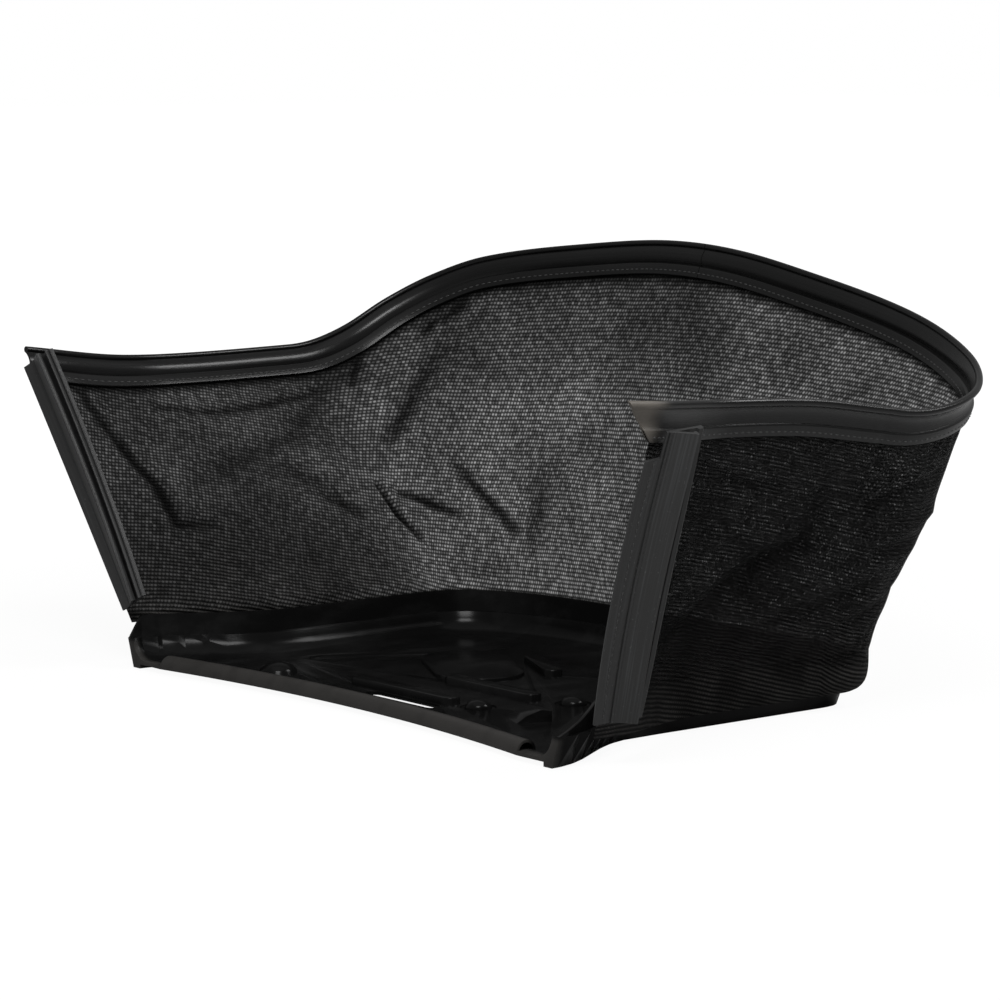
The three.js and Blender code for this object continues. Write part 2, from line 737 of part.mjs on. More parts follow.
function buildStrip({ edge, length, footHeight, turns, laps, openings, gaps, notch }) {
  const steps = 8;
  const notchRun = 1;
  const stub = stripFlange - stripStub;
  const { under, hem } = edge;
  const axis = under.clone().sub(hem).normalize();
  const foot = hem.clone().addScaledVector(axis, (footHeight - hem.z) / axis.z);
  const whole = length - notch;
  const stations = [];
  for (let i = 0; i <= steps; i += 1) stations.push([(whole * i) / steps, 0]);
  if (notch > 0) stations.push([whole + notchRun, stub], [length, stub]);
  return loftGeometry(stations.map(([along, flangeEdge]) => {
    const between = (values) => {
      const at = (along / length) * (values.length - 1);
      const k = Math.min(Math.floor(at), values.length - 2);
      return THREE.MathUtils.lerp(values[k], values[k + 1], at - k);
    };
    const turn = THREE.MathUtils.degToRad(between(turns));
    const across = new THREE.Vector3(Math.cos(turn), Math.sin(turn), 0);
    across.addScaledVector(axis, -across.dot(axis)).normalize();
    const outward = new THREE.Vector3().crossVectors(across, axis).normalize();
    const origin = foot.clone().addScaledVector(axis, along)
      .addScaledVector(across, -between(laps))
      .addScaledVector(outward, between(gaps));
    return stripSection(between(openings), flangeEdge).map(([u, v]) => origin.clone()
      .addScaledVector(across, u)
      .addScaledVector(outward, v));
  }));
}

// Front edge of the mesh that a strip is sewn to
function wallEdge(i) {
  const { column } = wallColumn(i);
  return { under: column[1], hem: column[column.length - 1] };
}

const group = new THREE.Group();
group.add(toMesh('base_tray', buildTray(), trayBlack));
group.add(toMesh('mesh_wall', buildWall(), meshBlack));
const rimMiddle = wallSteps / 2 - 2;
const halfJoint = rimJointGap / 2;
group.add(toMesh('rim_left', buildRim(0, rimMiddle, 0, halfJoint), profileBlack));
group.add(toMesh('rim_right', buildRim(rimMiddle, wallSteps, halfJoint, 0), profileBlack));

// Edge strips: the left one stands across the mesh's front edge, the right one lies outside it
const leftHeadTurn = THREE.MathUtils.degToRad(stripLeftTurns[stripLeftTurns.length - 1]);
const leftHeadGap = stripClearance + (forkWidth / 2) * Math.tan(leftHeadTurn);
const leftStrip = buildStrip({
  edge: wallEdge(0), length: stripLeftLength, footHeight: stripLeftFoot, turns: stripLeftTurns,
  laps: stripLeftLap, openings: stripLeftOpening, gaps: [stripClearance, leftHeadGap],
  notch: stripLeftNotch,
});
group.add(toMesh('edge_strip_left', leftStrip, profileBlack));
const rightStrip = buildStrip({
  edge: wallEdge(wallSteps), length: stripRightLength, footHeight: stripRightFoot,
  turns: stripRightTurns, laps: stripRightLap, openings: stripRightOpening,
  gaps: [meshThickness / 2 + stripClearance, forkWidth / 2 + stripClearance],
  notch: stripRightNotch,
});
group.add(toMesh('edge_strip_right', rightStrip, profileBlack));

// Origin at the middle of the box's base
const box = new THREE.Box3().setFromObject(group);
const middle = box.getCenter(new THREE.Vector3());
for (const mesh of group.children) mesh.geometry.translate(-middle.x, -middle.y, -box.min.z);

export default group;
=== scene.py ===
import math
import bpy
from mathutils import Matrix, Vector, noise


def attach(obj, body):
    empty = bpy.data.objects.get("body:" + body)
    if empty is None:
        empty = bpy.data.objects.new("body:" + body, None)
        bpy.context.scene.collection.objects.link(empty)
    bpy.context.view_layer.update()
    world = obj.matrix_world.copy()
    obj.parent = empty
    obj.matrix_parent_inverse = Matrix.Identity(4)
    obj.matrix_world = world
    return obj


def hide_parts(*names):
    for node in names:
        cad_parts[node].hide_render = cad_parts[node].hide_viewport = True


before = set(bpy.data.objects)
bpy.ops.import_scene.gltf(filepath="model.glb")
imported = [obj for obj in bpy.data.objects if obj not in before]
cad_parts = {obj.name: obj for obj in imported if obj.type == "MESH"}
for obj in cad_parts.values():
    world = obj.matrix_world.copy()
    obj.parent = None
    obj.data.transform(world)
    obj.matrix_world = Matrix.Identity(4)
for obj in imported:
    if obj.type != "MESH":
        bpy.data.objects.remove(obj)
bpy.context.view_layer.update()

print("frame loaded:", sorted(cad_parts))

# small helpers

def only(obj):
    bpy.ops.object.select_all(action="DESELECT")
    obj.select_set(True)
    bpy.context.view_layer.objects.active = obj


def applyModifiers(obj):
    only(obj)
    for modifier in list(obj.modifiers):
        bpy.ops.object.modifier_apply(modifier=modifier.name)


def smoothByAngle(obj, degrees):
    only(obj)
    bpy.ops.object.shade_smooth_by_angle(angle=math.radians(degrees))


def shareOf(value, low, high):
    # how far a value is from low to high, kept between 0 and 1
    return min(max((value - low) / (high - low), 0), 1)


# shader maths

class Wire:
    # wraps one socket, so that node maths reads as plain expressions
    def __init__(self, graph, socket):
        self.graph = graph
        self.socket = socket

    def maths(self, operation, *values):
        return self.graph.node("ShaderNodeMath", {"operation": operation}, dict(enumerate(values)))

    def __add__(self, other):
        return self.maths("ADD", self, other)

    def __radd__(self, other):
        return self.maths("ADD", other, self)

    def __sub__(self, other):
        return self.maths("SUBTRACT", self, other)

    def __rsub__(self, other):
        return self.maths("SUBTRACT", other, self)

    def __mul__(self, other):
        return self.maths("MULTIPLY", self, other)

    def __rmul__(self, other):
        return self.maths("MULTIPLY", other, self)

    def __truediv__(self, other):
        return self.maths("DIVIDE", self, other)

    def floor(self):
        return self.maths("FLOOR", self)

    def fraction(self):
        return self.maths("FRACT", self)

    def cosine(self):
        return self.maths("COSINE", self)

    def most(self, other):
        return self.maths("MAXIMUM", self, other)

    def ramp(self, low, high, atLow=0.0, atHigh=1.0):
        # smooth step from one value to another
        return self.graph.node("ShaderNodeMapRange", {"interpolation_type": "SMOOTHSTEP", "clamp": True},
                               {0: self, 1: low, 2: high, 3: atLow, 4: atHigh})


class Graph:
    def __init__(self, holder):
        holder.use_nodes = True
        self.holder = holder
        self.tree = holder.node_tree
        self.tree.nodes.clear()

    def node(self, kind, settings, sockets, out=0):
        # the one way a node is made: its settings first, then values or links by socket
        made = self.tree.nodes.new(kind)
        for key, value in settings.items():
            setattr(made, key, value)
        for key, value in sockets.items():
            if isinstance(value, Wire):
                self.tree.links.new(value.socket, made.inputs[key])
            else:
                made.inputs[key].default_value = value
        return Wire(self, made.outputs[out]) if made.outputs else None

    def place(self):
        return self.node("ShaderNodeTexCoord", {}, {}, out="Object")

    def flat(self):
        return self.node("ShaderNodeUVMap", {"uv_map": "UVMap"}, {})

    def noise(self, scale, detail=2.0, roughness=0.5, stretch=(1, 1, 1), where=None):
        where = self.node("ShaderNodeMapping", {}, {0: where or self.place(), "Scale": stretch})
        return self.node("ShaderNodeTexNoise", {},
                         {"Vector": where, "Scale": scale, "Detail": detail, "Roughness": roughness})

    def split(self, vector):
        return [self.node("ShaderNodeSeparateXYZ", {}, {0: vector}, out=axis) for axis in range(3)]

    def mixColour(self, factor, first, second):
        return self.node("ShaderNodeMix", {"data_type": "RGBA"}, {0: factor, 6: first, 7: second}, out=2)

    def bump(self, height, distance):
        return self.node("ShaderNodeBump", {}, {"Height": height, "Distance": distance})

    def surface(self, sockets):
        shader = self.node("ShaderNodeBsdfPrincipled", {}, sockets)
        self.node("ShaderNodeOutputMaterial", {}, {0: shader})
        return self.holder


def newFinish(name):
    return Graph(bpy.data.materials.new(name))


def grey(value, warmth=0.0):
    return (value * (1 + warmth), value, value * (1 - warmth), 1)


# finishes

glossTray = {
    "colour": 0.0035, "worn": 0.008, "dust": 0.04, "lip": 0.03, "roughness": 0.12, "spread": 0.14,
    "waviness": 0.0005, "shine": 0.07, "lipBack": 0.1508, "lipBow": 0.015, "lipHalf": 0.174,
}


def trayFinish():
    g = newFinish("trayGlossBlack")
    cloud = g.noise(9, 3)
    smear = g.noise(60, 4, 0.6, (1, 0.35, 1))
    fine = g.noise(900, 2)
    specks = g.noise(2600, 2).ramp(0.72, 0.8) * cloud.ramp(0.4, 0.65)
    colour = g.mixColour(smear.ramp(0.45, 0.8), grey(glossTray["colour"]), grey(glossTray["worn"]))
    colour = g.mixColour(specks, colour, grey(glossTray["dust"]))
    # the rolled front lip is made rougher and painted paler and warmer
    x, y, z = g.split(g.place())
    share = x / glossTray["lipHalf"]
    line = (1 - share * share) * glossTray["lipBow"] - glossTray["lipBack"]
    lip = (y - line).ramp(0.005, 0.012, 1.0, 0.0) * z.ramp(0.014, 0.018, 1.0, 0.0)
    colour = g.mixColour(lip * smear.ramp(0.2, 0.6, 0.7, 1.0), colour, grey(glossTray["lip"], 0.05))
    rough = glossTray["roughness"] + glossTray["spread"] * (cloud * 0.5 + smear * 0.6) + lip * 0.25
    return g.surface({"Base Color": colour, "Roughness": rough, "Specular IOR Level": glossTray["shine"],
                      "Normal": g.bump(cloud + fine * 0.02, glossTray["waviness"])})


rimLook = {"colour": 0.002, "scuff": 0.005, "roughness": 0.2, "spread": 0.14, "shine": 0.24, "relief": 0.0004}
stripLook = {"colour": 0.026, "scuff": 0.052, "roughness": 0.34, "spread": 0.16, "shine": 0.2, "relief": 0.0004}
rimTip = {"spot": (0.3, -0.1785, 0.2), "reach": 0.034, "colour": (0.1, 0.09, 0.078, 1)}


def profileFinish(name, look, tip=None):
    g = newFinish(name)
    cloud = g.noise(22, 3)
    streak = g.noise(1, 3, 0.6, (9, 900, 1), g.flat())      # drawn lines along the extrusion
    grain = g.noise(1500, 2)
    nicks = g.noise(420, 3, 0.7).ramp(0.66, 0.72)
    rough = look["roughness"] + look["spread"] * (cloud * 0.5 + streak * 0.6)
    colour = g.mixColour(streak.ramp(0.45, 0.85), grey(look["colour"]), grey(look["scuff"], -0.03))
    colour = g.mixColour(nicks * 0.5, colour, grey(look["scuff"] * 2.4))
    if tip:
        # rubbed pale and brownish where it was cut
        away = g.node("ShaderNodeVectorMath", {"operation": "DISTANCE"}, {0: g.place(), 1: tip["spot"]},
                      out="Value")
        rubbed = away.ramp(tip["reach"] * 0.4, tip["reach"], 1.0, 0.0)
        colour = g.mixColour(rubbed * cloud.ramp(0.2, 0.6, 0.6, 1.0), colour, tip["colour"])
        rough = rough + rubbed * 0.25
    return g.surface({"Base Color": colour, "Roughness": rough, "Specular IOR Level": look["shine"],
                      "Normal": g.bump(cloud * 0.8 + streak * 0.12 + grain * 0.05, look["relief"])})


knit = {
    "across": 0.0021, "row": 0.00265, "holeWide": 0.42, "holeTall": 0.34, "tilt": 0.25, "through": 0.46,
    "between": 0.38, "yarn": 0.001, "yarnPaintedSheen": 0.012, "yarnDusty": 0.05, "dustUpTo": (0.035, 0.095),
    "roughness": 0.6, "relief": 0.0008, "shine": 0.05,
}


def knitFinish():
    g = newFinish("knitMeshBlack")
    u, v = g.split(g.flat())[:2]
    drift = g.noise(45, 2)
    rowAt = v / knit["row"] + drift * 0.8
    row = rowAt.floor()
    columnAt = u / knit["across"] + (row * 0.5).fraction() + drift * 0.5     # every second row half a loop along
    x = columnAt.fraction() - 0.5
    y = rowAt.fraction() - 0.5
    # light comes through the middle of each loop, more through some than others
    cell = g.node("ShaderNodeCombineXYZ", {}, {0: columnAt.floor(), 1: row})
    chance = g.node("ShaderNodeTexWhiteNoise", {"noise_dimensions": "2D"}, {"Vector": cell}, out="Value")
    openness = g.node("ShaderNodeAttribute", {"attribute_name": "openness"}, {}, out="Fac")
    tilted = y - x * knit["tilt"]
    reach = (x * x) / knit["holeWide"] ** 2 + (tilted * tilted) / knit["holeTall"] ** 2
    hole = reach.ramp(0.2, 1.3, 1.0, knit["between"]) * openness * (0.62 + chance * 0.6) * knit["through"]
    # each row stands up as a rib of loops, and the rib crests are painted paler as a painted sheen
    rib = (y * (2 * math.pi)).cosine()
    loop = (x * (2 * math.pi)).cosine()
    paintedSheen = (rib * 0.5 + 0.5) * (loop * 0.2 + 0.8) * drift.ramp(0.3, 0.7, 0.4, 1.0) * (0.7 + chance * 0.3)
    # paler with dust low down
    low = g.split(g.place())[2].ramp(*knit["dustUpTo"], 1.0, 0.0)
    paintedSheenAndDust = g.mixColour(low, grey(knit["yarnPaintedSheen"], 0.02), grey(knit["yarnDusty"], 0.04))
    # painted sheen on the rib crests, dusty low down, over the dark yarn between
    colour = g.mixColour(paintedSheen, grey(knit["yarn"]), paintedSheenAndDust)
    return g.surface({"Base Color": colour, "Roughness": knit["roughness"], "Alpha": 1 - hole,
                      "Specular IOR Level": knit["shine"],
                      "Normal": g.bump(rib * 0.5 + loop * rib * 0.2, knit["relief"])})


threadLook = {"colour": 0.012, "light": 0.06, "roughness": 0.55, "shine": 0.3, "relief": 0.0002}


def threadFinish():
    g = newFinish("threadBlack")
    twist = g.noise(1800, 2, 0.5, (1, 1, 0.4))
    # the twist's paler strands are partly the thread's own tone and partly a painted sheen, so the stitches read as
    # light dots
    colour = g.mixColour(twist, grey(threadLook["colour"]), grey(threadLook["light"]))
    return g.surface({"Base Color": colour, "Roughness": threadLook["roughness"],
                      "Specular IOR Level": threadLook["shine"], "Normal": g.bump(twist, threadLook["relief"])})


trayBlack = trayFinish()
rimBlack = profileFinish("rimSatinBlack", rimLook, rimTip)
stripBlack = profileFinish("stripSatinBlack", stripLook)
knitBlack = knitFinish()
threadBlack = threadFinish()
print("finishes made")

# the bag's own lines, the same as in the part

mm = 0.001
# a station is a place along the rim, counted from the left front; pitch is about how far apart they are in mm
bag = {
    "shift": (-1.7336, -150.7846), "side": 0.2,
    "hem": {"front": 216, "side": 174.2, "taper": 114, "frontY": (7, 19), "cornerY": (195, 225), "rearY": 266.2,
            "extra": 14, "power": (2.9, 4)},
    "rim": {"front": 300, "side": 284, "taper": 90, "frontY": (-16, -30), "cornerY": (175, 175), "rearY": 330,
            "extra": 0, "power": (2.9, 2.9)},
    "tray": {"front": 210, "side": 173, "taper": 92, "frontY": (0, 0), "cornerY": (195, 225), "rearY": 265,
             "extra": 14, "power": (2.9, 4)},
    "rimHeight": 187, "rimRise": 74,
    "wave": [(0, .11), (.07, 0), (.2, 0), (.23, .035), (.26, .16), (.29, .385), (.32, .6), (.35, .77), (.4, .91),
             (.45, .99), (.5, .93), (.55, .765), (.6, .56), (.65, .31), (.7, .11), (.77, .01), (.86, .16),
             (.93, .215), (1, .285)],
    "hemLow": 9, "hemFront": (26, 15), "knee": 38, "sag": 5,
    "sideSteps": 15, "rearSteps": 44, "pitch": 13.5, "rake": (0.08, 1.0), "rakeReach": 4,
}
bag["steps"] = 2 * bag["sideSteps"] + bag["rearSteps"]


def planPoint(t, plan):
    share = bag["side"]
    hand = 0 if t < 0.5 else 1
    cornerY, power = plan["cornerY"][hand], plan["power"][hand]
    if t < share or t > 1 - share:
        frontY = plan["frontY"][hand]
        along = (1 - t if hand else t) / share
        y = frontY + (cornerY - frontY) * along
        eased = min((y - frontY) / plan["taper"], 1)
        x = plan["side"] + (plan["front"] - plan["side"]) * (0.5 + 0.5 * math.cos(math.pi * eased))
        return Vector((x if hand else -x, y, 0))
    rounded = (t - share) / (1 - 2 * share)
    quarter = max(min(2 * rounded, 2 - 2 * rounded), 0)
    even = quarter ** (power / 2)
    part = even / (even + max(1 - quarter, 0) ** (power / 2))
    turn = math.pi / 2 * (part if rounded < 0.5 else 2 - part)
    c, s = math.cos(turn), math.sin(turn)
    x = -plan["side"] * math.copysign(abs(c) ** (2 / power), c)
    depth = plan["rearY"] - cornerY + plan["extra"] * (max(x, 0) / plan["side"]) ** 2
    return Vector((x, cornerY + depth * abs(s) ** (2 / power), 0))


def waveValue(t):
    stations = bag["wave"]
    last = len(stations) - 1
    k = 0
    while k < last - 1 and t > stations[k + 1][0]:
        k += 1

    def slope(i):
        a, b = stations[max(i - 1, 0)], stations[min(i + 1, last)]
        return (b[1] - a[1]) / (b[0] - a[0])

    (t0, v0), (t1, v1) = stations[k], stations[k + 1]
    span = t1 - t0
    f = (t - t0) / span
    return (v0 * (2 * f ** 3 - 3 * f ** 2 + 1) + slope(k) * span * (f ** 3 - 2 * f ** 2 + f)
            + v1 * (3 * f ** 2 - 2 * f ** 3) + slope(k + 1) * span * (f ** 3 - f ** 2))


def rimPoint(t):
    p = planPoint(t, bag["rim"])
    p.z = bag["rimHeight"] + bag["rimRise"] * waveValue(t)
    return p


def frontShare(t, reach):
    return 0.5 + 0.5 * math.cos(math.pi * min(min(t, 1 - t) / (bag["side"] * reach), 1))


def hemPoint(t):
    p = planPoint(t, bag["hem"])
    front = bag["hemFront"][0 if t < 0.5 else 1]
    p.z = bag["hemLow"] + (front - bag["hemLow"]) * frontShare(t, 0.5)
    return p


def wallFrame(t):
    step = 0.002
    top = rimPoint(t)
    along = (rimPoint(min(t + step, 1)) - rimPoint(max(t - step, 0))).normalized()
    down = hemPoint(t) - top
    down = (down - along * down.dot(along)).normalized()
    return top, along, down, down.cross(along).normalized()


def stationAt(i):
    # t of a station, also between the part's own stations
    side, steps, share = bag["sideSteps"], bag["steps"], bag["side"]
    fromEnd = min(i, steps - i)
    if fromEnd <= side:
        t = share * fromEnd / side
        return t if i == fromEnd else 1 - t
    return share + (1 - 2 * share) * (i - side) / bag["rearSteps"]


def rakeAt(i):
    left = bag["rake"][0] * max(1 - i / bag["rakeReach"], 0)
    right = bag["rake"][1] * max(1 - (bag["steps"] - i) / bag["rakeReach"], 0)
    return left - right


def toFrame(p):
    return Vector((p.x + bag["shift"][0], p.y + bag["shift"][1], p.z)) * mm


# grid meshes, each shaped point by point

def gridPiece(name, columns, rows, pointAt, uvAt, valueAt=None):
    bpy.ops.object.select_all(action="DESELECT")
    bpy.ops.mesh.primitive_grid_add(x_subdivisions=columns - 1, y_subdivisions=rows - 1, size=1)
    piece = bpy.context.active_object
    piece.name = piece.data.name = name
    place = {}
    for vertex in piece.data.vertices:
        i = round((vertex.co.x + 0.5) * (columns - 1))
        j = round((vertex.co.y + 0.5) * (rows - 1))
        place[vertex.index] = (i, j)
    for vertex in piece.data.vertices:
        vertex.co = pointAt(*place[vertex.index])
    flat = piece.data.uv_layers[0]
    flat.name = "UVMap"
    for loop in piece.data.loops:
        flat.data[loop.index].uv = uvAt(*place[loop.vertex_index])
    if valueAt:
        layer = piece.data.attributes.new(valueAt[0], "FLOAT", "POINT")
        for vertex in piece.data.vertices:
            layer.data[vertex.index].value = valueAt[1](*place[vertex.index])
    piece.data.update()
    return piece


def closeLoft(piece):
    # joins the seam of a loft, closes its two ends and turns its faces outward
    only(piece)
    bpy.ops.object.mode_set(mode="EDIT")
    bpy.ops.mesh.select_all(action="SELECT")
    bpy.ops.mesh.remove_doubles(threshold=1e-6)
    bpy.ops.mesh.select_all(action="DESELECT")
    bpy.ops.mesh.select_mode(type="EDGE")
    bpy.ops.mesh.select_non_manifold(extend=False)
    bpy.ops.mesh.fill_holes(sides=0)
    bpy.ops.mesh.select_all(action="SELECT")
    bpy.ops.mesh.normals_make_consistent(inside=False)
    bpy.ops.object.mode_set(mode="OBJECT")


# knitted wall

wallLook = {
    "perStation": 6, "rows": 84, "upperRows": 4, "lowerRows": 12, "thickness": 0.0004, "smooth": 60,
    "broad": 2.6, "broadSize": 85, "folds": 1.1, "foldSize": 60, "puckers": 0.525, "puckerSize": 19,
    "gather": 0.8, "gatherPitch": 17, "gatherReach": 22, "foot": 0.6, "footPitch": 23, "footReach": 18,
    "bulge": 13, "bulgeAt": 53, "bulgeReach": 6.5, "rowSway": 0.055, "swayReach": (0.3, 0.32),
    # how open the loops are: left, back and right, where one passes to the next, and where they close
    "openSides": (0.7, 1.0, 1.05), "leftToBack": (10, 19), "backToRight": (44, 52), "openBelow": 31.5,
    "closeLow": 0.48, "lowBand": (25, 90), "closeHigh": 0.28, "highBand": (120, 170), "highUpTo": (36, 42),
    "patch": 0.3, "patchSize": 48,
}

# creases: depth in mm, half width in mm, how much darker, then points as (station, height above the tray's flange)
creases = [
    (3.2, 3.6, 0.95, [(2.75, 147.7), (3.5, 106.9), (4, 81.2), (4, 52.4), (5.25, 52.8)]),
    (2.4, 8, 0.4, [(18.75, 159.7), (16, 148.3), (12.5, 115.2), (8.5, 101.3), (6, 85.2)]),
    (-2.2, 3, 0.0, [(5.5, 148.2), (9, 145.3), (12, 148.1), (15, 154), (19, 166.4)]),
    (1.6, 3, 0.7, [(6, 143), (9, 140), (12, 142), (15, 147), (18, 158)]),
    (2.6, 5, 0.65, [(12.75, 68), (13.25, 63.2), (14, 52.2)]),
    (2.6, 3, 0.95, [(23.5, 187.8), (22.5, 176.5)]),
    (2.6, 3, 0.95, [(25, 197.5), (23.75, 185.5)]),
    (3.0, 3, 0.95, [(19, 169.3), (18, 148.7)]),
    (3.0, 8, 0.6, [(23.5, 164.7), (20, 115.6), (18.75, 102.7)]),
    (4.0, 4, 0.95, [(16.5, 71.5), (17.25, 49.9), (18.75, 31.4)]),
    (3.2, 4, 0.85, [(18.25, 64.8), (20.5, 54.3), (22.75, 45.2)]),
    (3.2, 5, 0.75, [(23.25, 78.6), (24.25, 63.7), (26.25, 38.1), (26.75, 34.8)]),
    (2.4, 8, 0.45, [(28.25, 66.7), (28, 45.6), (27.5, 24.5)]),
    (2.4, 14, 0.15, [(30.5, 98.9), (32.5, 81.5)]),
    (2.0, 8, 0.25, [(24.25, 160.9), (26, 148.7), (26.75, 142.8)]),
    (2.2, 12, 0.1, [(31.25, 141.5), (33, 131.1)]),
    (2.2, 12, 0.45, [(10.5, 96), (12, 84), (13, 70)]),
    (-3.4, 7, 0.4, [(61, 129.2), (61.25, 92.1), (62.75, 81.9), (65, 59.2), (67, 32.2)]),
    (-3.0, 5, 0.4, [(68.5, 159.3), (65.75, 142), (63.75, 138.4)]),
    (-2.8, 6, 0.3, [(51.75, 89.8), (54, 88), (56.5, 84.9)]),
    (-2.8, 7, 0.3, [(56, 60), (60, 40), (64, 20)]),
    (-2.4, 5, 0.3, [(53, 135), (56, 128), (58, 120)]),
    (-2.4, 6, 0.3, [(51, 50), (54, 36), (57, 24)]),
]


def creaseAt(i, height):
    # (how deep, how dark) the creases make a point of the wall
    push, dark = 0.0, 0.0
    pitch = bag["pitch"]
    px, py = i * pitch, height
    for depth, width, shade, points in creases:
        nearest, place = 1e9, 0.0
        spans = len(points) - 1
        for k in range(spans):
            ax, ay = points[k][0] * pitch, points[k][1]
            bx, by = points[k + 1][0] * pitch, points[k + 1][1]
            if min(abs(px - ax), abs(px - bx)) > 90:
                continue
            dx, dy = bx - ax, by - ay
            f = shareOf((px - ax) * dx + (py - ay) * dy, 0, dx * dx + dy * dy)
            away = math.hypot(px - ax - f * dx, py - ay - f * dy)
            if away < nearest:
                nearest, place = away, (k + f) / spans
        if nearest > 5 * width:
            continue
        fade = 0.35 + 0.65 * math.sin(math.pi * min(max(place, 0.08), 0.92)) ** 0.5
        near = math.exp(-(nearest / width) ** 2)
        beside = math.exp(-((nearest - 2.2 * width) / (1.4 * width)) ** 2)
        push += depth * fade * (0.4 * beside - near)
        dark = max(dark, shade * fade * math.exp(-(nearest / (0.9 * width)) ** 2))
    return push, dark


def wallLine(i):
    # one column of the wall, from the rim's slot down to the hem: points with their share of the free height,
    # the direction into the bag and the free height
    t = stationAt(i)
    top, along, down, out = wallFrame(t)
    rake = rakeAt(i)
    inFork = top + down * rimSlotTop(0.6) + along * rake * rimSlotTop(0.6)
    under = top + down * rimForkFoot(1) + along * rake * rimForkFoot(1)
    hem = hemPoint(t)
    knee = Vector((hem.x, hem.y, bag["knee"]))
    straight = hem.lerp(under, (bag["knee"] - hem.z) / (under.z - hem.z))
    knee = knee.lerp(straight, frontShare(t, 0.3))
    sag = bag["sag"] * (1 - frontShare(t, 0.5))
    upper, lower = wallLook["upperRows"], wallLook["lowerRows"]
    middle = wallLook["rows"] - upper - lower
    points = []
    for j in range(upper):
        points.append((inFork.lerp(under, j / upper), None))
    for j in range(middle):
        f = j / middle
        p = under.lerp(knee, f) + out * sag * math.sin(math.pi * f)
        points.append((p, f))
    for j in range(lower):
        points.append((knee.lerp(hem, j / (lower - 1)), None))
    return points, out, (under - knee).length


rimShape = {
    "bead": 2.1, "band": 1.8, "hollow": 1.6, "bandHeight": 11, "forkHeight": 8, "forkWidth": 4.7,
    "slot": 2.0, "web": 1.6, "shoulder": 0.8, "arc": 16, "bowSteps": 10, "perStation": 5, "jointGap": 0.25,
    "smooth": 38,
}
rimNeck = rimShape["bead"] + math.sqrt(rimShape["bead"] ** 2 - (rimShape["band"] / 2) ** 2)


def rimSlotTop(extra):
    return rimNeck + rimShape["bandHeight"] + rimShape["web"] + extra


def rimForkFoot(extra):
    return rimNeck + rimShape["bandHeight"] + rimShape["forkHeight"] + extra


def cornerBulge(i):
    # the cloth stands proud round the right rear corner of the tray
    return wallLook["bulge"] * math.exp(-((i - wallLook["bulgeAt"]) / wallLook["bulgeReach"]) ** 2)


def sideOpenness(i, height):
    # the left side's loops hang closer than the back's, above all low down
    left, back, right = wallLook["openSides"]
    toBack = shareOf(i, *wallLook["leftToBack"])
    toRight = shareOf(i, *wallLook["backToRight"])
    low = 1 - shareOf(height, *wallLook["lowBand"])
    high = shareOf(height, *wallLook["highBand"]) * (1 - shareOf(i, *wallLook["highUpTo"]))
    left *= 1 - wallLook["closeLow"] * low
    back *= 1 - wallLook["closeHigh"] * high
    return (left + (back - left) * toBack) * (1 - toRight) + right * toRight


def wrinkle(p, i, f, tall):
    # (how far the wall stands out or in, how open its loops are) at a share f of its height
    height = tall * (1 - f)
    free = math.sin(math.pi * f) ** 0.6
    edge = min(min(i, bag["steps"] - i) / 3.0, 1.0)
    at = Vector((p.x, p.y, p.z))
    broad = noise.noise(at / wallLook["broadSize"]) * wallLook["broad"]
    broad *= 1.6 + shareOf(i, 50, 58)                  # the near side hangs looser
    ridged = abs(noise.noise(at / wallLook["foldSize"] + Vector((7.3, 1.1, 3.7))))
    folds = -wallLook["folds"] * max(0.0, 1 - ridged * 4) ** 2
    small = noise.noise(at / wallLook["puckerSize"] + Vector((1.7, 9.2, 5.1))) * wallLook["puckers"]
    push, dark = creaseAt(i, height)
    rise = min(f * 2.2, 1.0)
    phase = noise.noise(Vector((i * 0.21, 0.3, 0.9))) * 5
    fromTop = tall * f
    around = 2 * math.pi * i * bag["pitch"]
    gather = wallLook["gather"] * math.sin(around / wallLook["gatherPitch"] + phase)
    gather *= math.exp(-fromTop / wallLook["gatherReach"]) * min(fromTop / 6, 1.0)
    foot = wallLook["foot"] * math.sin(around / wallLook["footPitch"] + 2 * phase)
    foot *= math.exp(-height / wallLook["footReach"]) * min(height / 6, 1)
    patch = 0.96 + wallLook["patch"] * noise.noise(at / wallLook["patchSize"] + Vector((3.1, 4.4, 8.8)))
    gripped = 0.25 + 0.75 * min(fromTop / 5, 1.0)      # loops are tight where the rim's fork holds them
    openness = (1 - dark) * patch * sideOpenness(i, height) * gripped
    lift = free * (broad + folds + small + push) - cornerBulge(i) * rise
    return edge * (lift + gather + foot), max(min(openness, 1.2), 0.0)


def eased(share):
    return 0.5 - 0.5 * math.cos(math.pi * min(share, 1.0))


